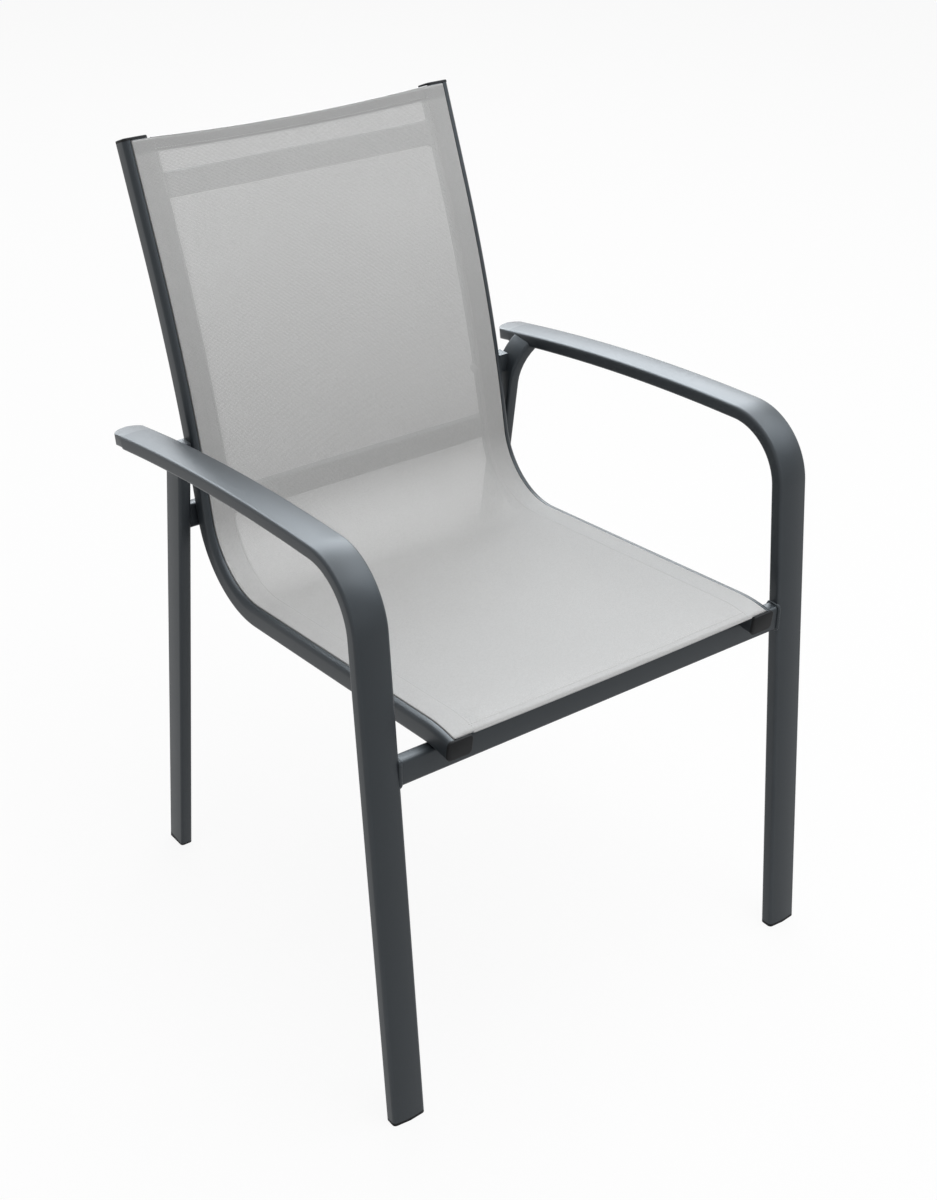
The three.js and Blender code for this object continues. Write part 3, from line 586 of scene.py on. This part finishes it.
# the sling's sizes in millimetres; shades are shares from 0 to 1
sling = {
    "thick": 0.42, "lay": 0.9, "turn": 1.2, "turnSteps": 7, "acrossSteps": 90, "rodGap": 0.4,
    "sag": 5.0, "frontSag": 0.4, "frontEase": 120.0, "frontSetback": 0.3, "topSetback": 1.0,
    "topDip": 4.5, "dipRun": 60.0, "topRowStep": 2.5,
    "sideShade": 0.4, "sideShadeFrom": 470.0, "sideShadeFull": 600.0, "topShade": 0.9,
    "blendBefore": 2.0, "blendAfter": 1.0,
}
hem = {
    "sideEdge": 180.0, "drop": 0.75, "top": 14.5, "front": 13.0, "sideColumns": 12, "weaveShift": 0.4,
    "endInset": 1.5, "endColumns": 70, "half": 0.34, "flatSteps": 8, "foldSteps": 9, "foldSharp": 60,
}


def clothSection():
    # half of the cloth's cross line, from the middle to the rod: flat, then a tight turn down into the slot
    turn, flat = sling["turn"], rail["height"] / 2 + sling["lay"]
    steps = sling["acrossSteps"] // 2 + 1
    line = np.concatenate([
        np.stack([np.linspace(-railCentre, channelOut - turn, steps), np.full(steps, flat)], -1),
        arcPoints((channelOut - turn, flat - turn), turn, 90, 0, sling["turnSteps"])[1:],
        [(channelOut, channelRise + rail["rod"] / 2 + sling["rodGap"])],
    ])
    line[:, 0] += railCentre
    return line


section = clothSection()
sectionRun = runAlong(section)
sectionSlope = np.gradient(section, sectionRun, axis=0)
railLength = railPath["travelled"][-1]
cutLength = railLength - sling["frontSetback"] - sling["topSetback"]


def runAt(outward):
    # the cloth's run from its middle to the place that lies this far out on its cross line
    return np.interp(outward, section[:, 0], sectionRun)


def clothPoint(across, along, proud):
    # across: cloth run from the middle; along: run from the front edge; proud: distance above the sheet.
    # The sheet follows each rail's turn at its own side, and in between it sags by sag * (1 - share squared);
    # near the top its rows slide down by dip * (1 - share squared) * t squared
    across, along, proud = np.broadcast_arrays(np.asarray(across, float), along, proud)
    run = np.abs(across)
    side = np.where(across < 0, -1.0, 1.0)
    x = np.interp(run, sectionRun, section[:, 0])
    rise = np.interp(run, sectionRun, section[:, 1])
    slopeX = np.interp(run, sectionRun, sectionSlope[:, 0])
    slopeRise = np.interp(run, sectionRun, sectionSlope[:, 1])
    size = np.hypot(slopeX, slopeRise)
    belly = 1 - np.clip(x / railInner, 0, 1) ** 2
    sag = sling["frontSag"] + (sling["sag"] - sling["frontSag"]) * smoothRise(along, 0, sling["frontEase"])
    nearTop = np.clip((along - cutLength + sling["dipRun"]) / sling["dipRun"], 0, 1)
    at = along + sling["frontSetback"] - sling["topDip"] * belly * nearTop ** 2
    x = (x - proud * slopeRise / size) * side
    rise = rise - sag * belly + proud * slopeX / size
    heading = np.interp(at, railPath["travelled"], railPath["headings"])
    y = np.interp(at, railPath["travelled"], railPath["points"][:, 0]) - np.sin(heading) * rise
    z = np.interp(at, railPath["travelled"], railPath["points"][:, 1]) + np.cos(heading) * rise
    beyond = at - np.clip(at, 0, railLength)
    y, z = y + beyond * np.cos(heading), z + beyond * np.sin(heading)
    right = railTurned(np.stack([x, y, z], -1))
    left = mirrored(railTurned(np.stack([-x, y, z], -1)), -1)
    share = ((np.clip(x / railInner, -1, 1) + 1) / 2)[..., None]
    return left * (1 - share) + right * share


def clothPiece(name, across, along, proud, material, masks=None, shift=0.0):
    # a sheet of cloth over the grid of runs, thickened evenly on both sides: its two faces carry the
    # same weave, so a hole is clear from the front and closes at a slant
    points = clothPoint(across, along, proud)
    across, along = np.broadcast_arrays(across, along)
    cut = np.stack([across, along + shift], -1)
    piece = meshPiece(name, points, material, closed=False, cut=cut, masks=masks)
    shell = piece.modifiers.new("cloth thickness", "SOLIDIFY")
    shell.thickness = sling["thick"] * mm
    shell.offset = 0
    shell.use_even_offset = True
    return piece


def paintedHemShadeMask(across, along):
    # painted shade: where a hem doubles the cloth, less light comes through it from behind the back, so the back's
    # hems are darkened in colour
    edge, before = hem["sideEdge"], sling["blendBefore"]
    topStart = cutLength - hem["top"]
    onBack = smoothRise(along, sling["sideShadeFrom"], sling["sideShadeFull"])
    atSide = smoothRise(across, edge - before, edge + sling["blendAfter"]) * onBack * sling["sideShade"]
    atTop = smoothRise(along, topStart - before, topStart) * sling["topShade"]
    return np.maximum(atSide, atTop)


def makeSling():
    # the sheet has a row at each point of the rail's route, and closer ones where its top edge dips
    columns = np.r_[-sectionRun[:0:-1], sectionRun]
    topRows = cutLength - np.arange(0, sling["dipRun"], sling["topRowStep"])
    rows = np.unique(np.round(np.r_[railPath["travelled"] - sling["frontSetback"], 0, topRows], 3))
    rows = rows[(rows >= 0) & (rows <= cutLength)]
    outward = np.interp(np.abs(columns[::-1]), sectionRun, section[:, 0])
    # the sheet's mask marks where painted shade darkens the back's hems
    sheet = clothPiece("sling_sheet", columns[None, ::-1], rows[:, None], 0.0, slingCloth,
                       masks={"painted_hem_shade": paintedHemShadeMask(*np.meshgrid(outward, rows))})
    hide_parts("sling_cloth")
    hems = []
    under = np.linspace(runAt(hem["sideEdge"]), runAt(railCentre + channelOut - sling["turn"]), hem["sideColumns"])
    for label, sign in bothSides:
        across = sign * (under[::-1] if sign > 0 else under)
        hems.append(clothPiece(f"{label}_side_hem", across[None, :], rows[:, None], -hem["drop"], hemCloth,
                               shift=hem["weaveShift"]))
    hems.append(endHem("top", cutLength, hem["top"], 1))
    hems.append(endHem("front", 0.0, hem["front"], -1))
    return sheet, hems


def endHem(label, edgeAt, depth, way):
    # the sheet's end folded back: a thin ribbon outline, flat under the sheet with a half-round fold
    drop, half = 2 * hem["drop"], hem["half"]
    middle = np.concatenate([
        np.stack([np.linspace(-depth, 0, hem["flatSteps"]), np.full(hem["flatSteps"], -drop)], -1),
        arcPoints((0, -drop / 2), drop / 2, -90, 90, hem["foldSteps"])[1:],
    ])
    slope = np.gradient(middle, axis=0)
    normal = np.stack([-slope[:, 1], slope[:, 0]], -1) / np.hypot(*slope.T)[:, None]
    outline = np.concatenate([middle + half * normal, (middle - half * normal)[::-1]])
    reach = railInner - hem["endInset"]
    across = np.linspace(-reach, reach, hem["endColumns"])[:, None]
    points = clothPoint(across, (edgeAt + way * outline[:, 0])[None, :], outline[None, :, 1])
    cut = np.stack(np.broadcast_arrays(across, runAlong(outline)[None, :]), -1)
    return meshPiece(f"{label}_hem", points, hemCloth, cut=cut, flip=way > 0,
                     sharp=hem["foldSharp"])


stitch = {
    "length": 2.6, "gap": 0.9, "radius": 0.28, "sides": 6, "rings": 5, "tip": 0.08,
    "lift": 0.24, "arch": 0.14, "fromEnds": 4.0, "intoSideHem": 3.0, "intoEndHem": 2.5,
}


def stitchRow(name, across, along, alongCloth):
    # short threads that rise from the sheet and return to it: a capsule at t from 0 to 1, whose radius is
    # radius * the root of sin(pi t), and whose middle stands proud by lift + arch * sin(pi t)
    t = np.linspace(0, 1, stitch["rings"])
    turn = np.linspace(0, 2 * math.pi, stitch["sides"], endpoint=False)
    girth = stitch["radius"] * np.sin(math.pi * np.clip(t, stitch["tip"], 1 - stitch["tip"])) ** 0.5
    lift = stitch["lift"] + stitch["arch"] * np.sin(math.pi * t)
    offLong = np.broadcast_to(((t - 0.5) * stitch["length"])[:, None], (len(t), len(turn)))
    offWide = girth[:, None] * np.cos(turn)[None, :]
    offUp = lift[:, None] + girth[:, None] * np.sin(turn)[None, :]
    across = across.reshape(-1, 1, 1) + (offWide if alongCloth else offLong)[None]
    along = along.reshape(-1, 1, 1) + (offLong if alongCloth else offWide)[None]
    points = clothPoint(across, along, np.broadcast_to(offUp[None], across.shape))
    size = len(t) * len(turn)
    bases = np.arange(len(across)) * size
    faces = (gridFaces(len(t), len(turn), True)[None] + bases[:, None, None]).reshape(-1, 4).tolist()
    firstEnd, lastEnd = np.arange(len(turn))[::-1], np.arange(size - len(turn), size)
    ends = np.stack([firstEnd, lastEnd])[None] + bases[:, None, None]
    faces += ends.reshape(-1, len(turn)).tolist()
    if alongCloth:
        faces = [face[::-1] for face in faces]
    mesh = newMesh(name, points, faces, cut=np.stack([across.ravel(), along.ravel()], -1))
    return addPiece(name, mesh, threadCloth)


def makeStitches():
    # one row inside each hem, its stitches a length and a gap apart
    step, fromEnds = stitch["length"] + stitch["gap"], stitch["fromEnds"]
    rows = []
    alongs = np.arange(fromEnds, cutLength - fromEnds, step)
    seam = runAt(hem["sideEdge"] + stitch["intoSideHem"])
    for label, sign in bothSides:
        rows.append(stitchRow(f"{label}_side_stitching", np.full(alongs.size, sign * seam), alongs, True))
    acrosses = np.arange(-railInner + fromEnds, railInner - fromEnds, step)
    topSeam = cutLength - hem["top"] + stitch["intoEndHem"]
    for label, at in (("top", topSeam), ("front", hem["front"] - stitch["intoEndHem"])):
        rows.append(stitchRow(f"{label}_hem_stitching", acrosses, np.full(acrosses.size, at), False))
    return rows


sheet, hems = makeSling()
stitches = makeStitches()

# eye is in millimetres before the footprint's shift, floorHalf and farClip in metres;
# world is the background's strength on the object, floorGlow the floor's share of plain white
studio = {
    "eye": (-1094.37, -1501.37, 1462.15), "right": (0.802804, -0.596235, 0.003032),
    "up": (0.293298, 0.399330, 0.868626), "lens": 56.175, "sensor": 36.0, "farClip": 200.0,
    "world": 0.46, "floorHalf": 40.0, "floorTone": 0.8, "floorRoughness": 0.9, "floorSpecular": 0.1,
    "floorGlow": 0.9,
}
coolWhite = (0.89, 0.95, 1.0)
lamps = [
    {"name": "overhead softbox", "place": (0.6, -0.4, 3.4), "aim": (0, 0, 0.4), "size": (3.0, 3.0), "power": 84},
    {"name": "back softbox", "place": (1.9, 3.0, 3.1), "aim": (0, 0, 0.6), "size": (3.8, 3.0), "power": 40},
    {"name": "front fill", "place": (0.3, -3.4, 1.6), "aim": (0, 0, 0.6), "size": (2.8, 2.2), "power": 12},
    {"name": "arm reflection panel", "place": (1.15, 2.85, 3.2), "aim": (0, 0, 0.6), "size": (4.8, 3.0),
     "power": 445, "colour": coolWhite, "glossOnly": True},
    {"name": "bend reflection panel", "place": (1.9, -1.0, 2.9), "aim": (0, 0, 0.6), "size": (2.4, 2.4),
     "power": 82, "colour": coolWhite, "glossOnly": True},
]


def makeCamera():
    camera = bpy.data.objects.new("photo camera", bpy.data.cameras.new("photo camera"))
    bpy.context.scene.collection.objects.link(camera)
    right, up = Vector(studio["right"]), Vector(studio["up"])
    turn = Matrix((right, up, right.cross(up))).transposed().to_4x4()
    eye = Vector(studio["eye"]) + Vector((0, chair["footprintShift"], 0))
    camera.matrix_world = Matrix.Translation(eye * mm) @ turn
    camera.data.lens = studio["lens"]
    camera.data.sensor_width = studio["sensor"]
    camera.data.clip_end = studio["farClip"]
    bpy.context.scene.camera = camera


def areaLight(name, place, aim, size, power, colour=(1, 1, 1), glossOnly=False):
    # a gloss-only lamp shows in the coat's reflections and adds no light to the cloth and the floor
    lamp = bpy.data.lights.new(name, "AREA")
    lamp.shape = "RECTANGLE"
    lamp.size, lamp.size_y = size
    lamp.energy = power
    lamp.color = colour
    light = bpy.data.objects.new(name, lamp)
    light.location = place
    light.visible_diffuse = not glossOnly
    light.rotation_mode = "QUATERNION"
    light.rotation_quaternion = (Vector(aim) - Vector(place)).to_track_quat("-Z", "Y")
    bpy.context.scene.collection.objects.link(light)


def seenRays(tree):
    # 1 for camera, glossy and see-through rays, so that these find a white background
    path = addNode(tree, "ShaderNodeLightPath").outputs
    seen = calc(tree, "MAXIMUM", path["Is Camera Ray"], path["Is Glossy Ray"])
    return calc(tree, "MAXIMUM", seen, path["Is Transmission Ray"])


def makeWorld():
    # strength 1 for the rays that see the background, and the plain level for the light it gives
    world = bpy.data.worlds.new("studio")
    bpy.context.scene.world = world
    world.use_nodes = True
    tree = world.node_tree
    strength = timesPlus(tree, seenRays(tree), 1.0 - studio["world"], studio["world"])
    setInputs(tree, tree.nodes["Background"], {"Strength": strength, "Color": (1, 1, 1, 1)})


def makeFloor():
    # a pale floor that takes the shadow, mixed with plain white by floorGlow for the rays that see it
    mesh = bpy.data.meshes.new("floor")
    half, tone = studio["floorHalf"], studio["floorTone"]
    mesh.from_pydata([(-half, -half, 0), (half, -half, 0), (half, half, 0), (-half, half, 0)], [], [[0, 1, 2, 3]])
    floor = bpy.data.objects.new("floor", mesh)
    bpy.context.scene.collection.objects.link(floor)
    material, tree, shader = newMaterial("pale floor", {
        "Base Color": (tone, tone, tone, 1), "Roughness": studio["floorRoughness"],
        "Specular IOR Level": studio["floorSpecular"]})
    glow = addNode(tree, "ShaderNodeEmission", {"Color": (1, 1, 1, 1), "Strength": 1.0})
    share = times(tree, seenRays(tree), studio["floorGlow"])
    mix = addNode(tree, "ShaderNodeMixShader", {0: share, 1: shader.outputs[0], 2: glow.outputs[0]})
    setInputs(tree, tree.nodes["Material Output"], {"Surface": mix.outputs[0]})
    mesh.materials.append(material)


makeCamera()
makeWorld()
makeFloor()
for lamp in lamps:
    areaLight(**lamp)
bpy.context.scene.view_settings.view_transform = "Standard"
print("camera and studio made")
